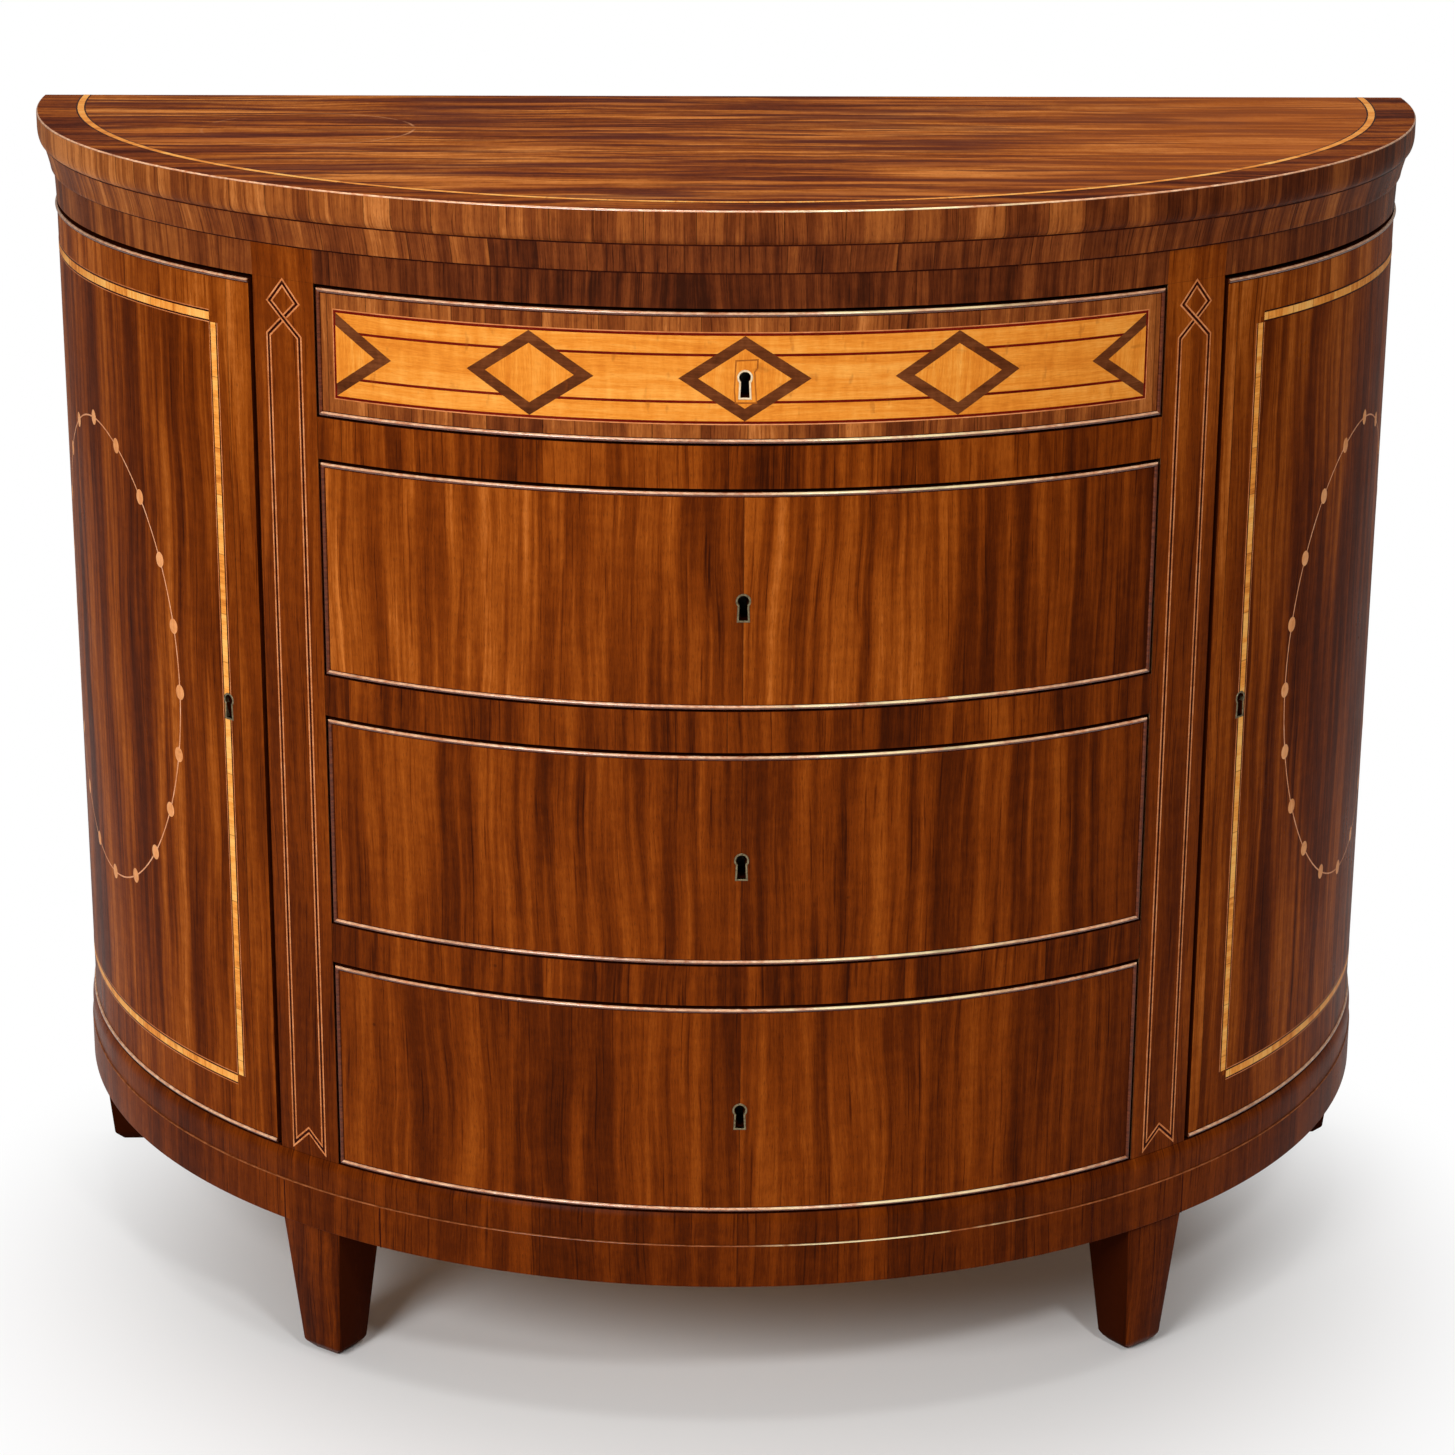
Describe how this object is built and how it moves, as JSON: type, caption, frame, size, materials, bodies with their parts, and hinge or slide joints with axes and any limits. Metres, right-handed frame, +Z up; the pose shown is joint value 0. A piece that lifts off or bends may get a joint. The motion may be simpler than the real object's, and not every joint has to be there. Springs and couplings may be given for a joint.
{
  "type": "demilune chest of drawers",
  "caption": "Half-round chest with graduated drawers between two curved cupboard doors, on tapered feet, with an overhanging moulded top.",
  "frame": {"origin": "centre of the bounding box, on the floor under the feet", "axes": "+Z up, -Y towards the front with the drawers, +X to the viewer's right; the flat back is the +Y side"},
  "size_m": [1.095, 0.5476, 0.9045],
  "materials": {
    "mahogany": "polished",
    "lining_wood": "unpolished",
    "satinwood": "polished",
    "boxwood": "polished",
    "iron": "dull",
    "brass": "aged"
  },
  "bodies": {
    "case": {"top_board": "mahogany", "cornice": "mahogany", "carcass_top": "mahogany", "back_panel": "lining_wood", "left_partition": "lining_wood", "right_partition": "lining_wood", "left_stile": "mahogany", "right_stile": "mahogany", "left_rear_post": "mahogany", "right_rear_post": "mahogany", "drawer_rail_1": "mahogany", "drawer_rail_2": "mahogany", "drawer_rail_3": "mahogany", "dust_board_1": "lining_wood", "dust_board_2": "lining_wood", "dust_board_3": "lining_wood", "bottom_board": "mahogany", "plinth": "mahogany", "left_front_foot": "mahogany", "right_front_foot": "mahogany", "left_rear_foot": "mahogany", "right_rear_foot": "mahogany", "left_door_foot_pivot": "brass", "left_door_head_pivot": "brass", "right_door_foot_pivot": "brass", "right_door_head_pivot": "brass"},
    "top_drawer": {"drawer_1_front": "mahogany", "drawer_1_left_side": "lining_wood", "drawer_1_right_side": "lining_wood", "drawer_1_back": "lining_wood", "drawer_1_bottom": "lining_wood", "drawer_1_lock": "iron", "drawer_1_keyhole_liner": "brass"},
    "second_drawer": {"drawer_2_front": "mahogany", "drawer_2_left_side": "lining_wood", "drawer_2_right_side": "lining_wood", "drawer_2_back": "lining_wood", "drawer_2_bottom": "lining_wood", "drawer_2_lock": "iron", "drawer_2_keyhole_liner": "brass"},
    "third_drawer": {"drawer_3_front": "mahogany", "drawer_3_left_side": "lining_wood", "drawer_3_right_side": "lining_wood", "drawer_3_back": "lining_wood", "drawer_3_bottom": "lining_wood", "drawer_3_lock": "iron", "drawer_3_keyhole_liner": "brass"},
    "bottom_drawer": {"drawer_4_front": "mahogany", "drawer_4_left_side": "lining_wood", "drawer_4_right_side": "lining_wood", "drawer_4_back": "lining_wood", "drawer_4_bottom": "lining_wood", "drawer_4_lock": "iron", "drawer_4_keyhole_liner": "brass"},
    "left_cupboard_door": {"left_door": "mahogany", "left_door_lock": "iron", "left_door_keyhole_liner": "brass"},
    "right_cupboard_door": {"right_door": "mahogany", "right_door_lock": "iron", "right_door_keyhole_liner": "brass"}
  },
  "joints": [
    {"name": "top_drawer_slide", "type": "slide", "parent": "case", "child": "top_drawer", "axis": [0, -1, 0], "range_m": [0, 0.3]},
    {"name": "second_drawer_slide", "type": "slide", "parent": "case", "child": "second_drawer", "axis": [0, -1, 0], "range_m": [0, 0.3]},
    {"name": "third_drawer_slide", "type": "slide", "parent": "case", "child": "third_drawer", "axis": [0, -1, 0], "range_m": [0, 0.3]},
    {"name": "bottom_drawer_slide", "type": "slide", "parent": "case", "child": "bottom_drawer", "axis": [0, -1, 0], "range_m": [0, 0.3]},
    {"name": "left_door_hinge", "type": "hinge", "parent": "case", "child": "left_cupboard_door", "pos_m": [-0.52648, 0.25037, 0.5], "axis": [0, 0, -1], "range_deg": [0, 95]},
    {"name": "right_door_hinge", "type": "hinge", "parent": "case", "child": "right_cupboard_door", "pos_m": [0.52648, 0.25037, 0.5], "axis": [0, 0, 1], "range_deg": [0, 95]}
  ]
}
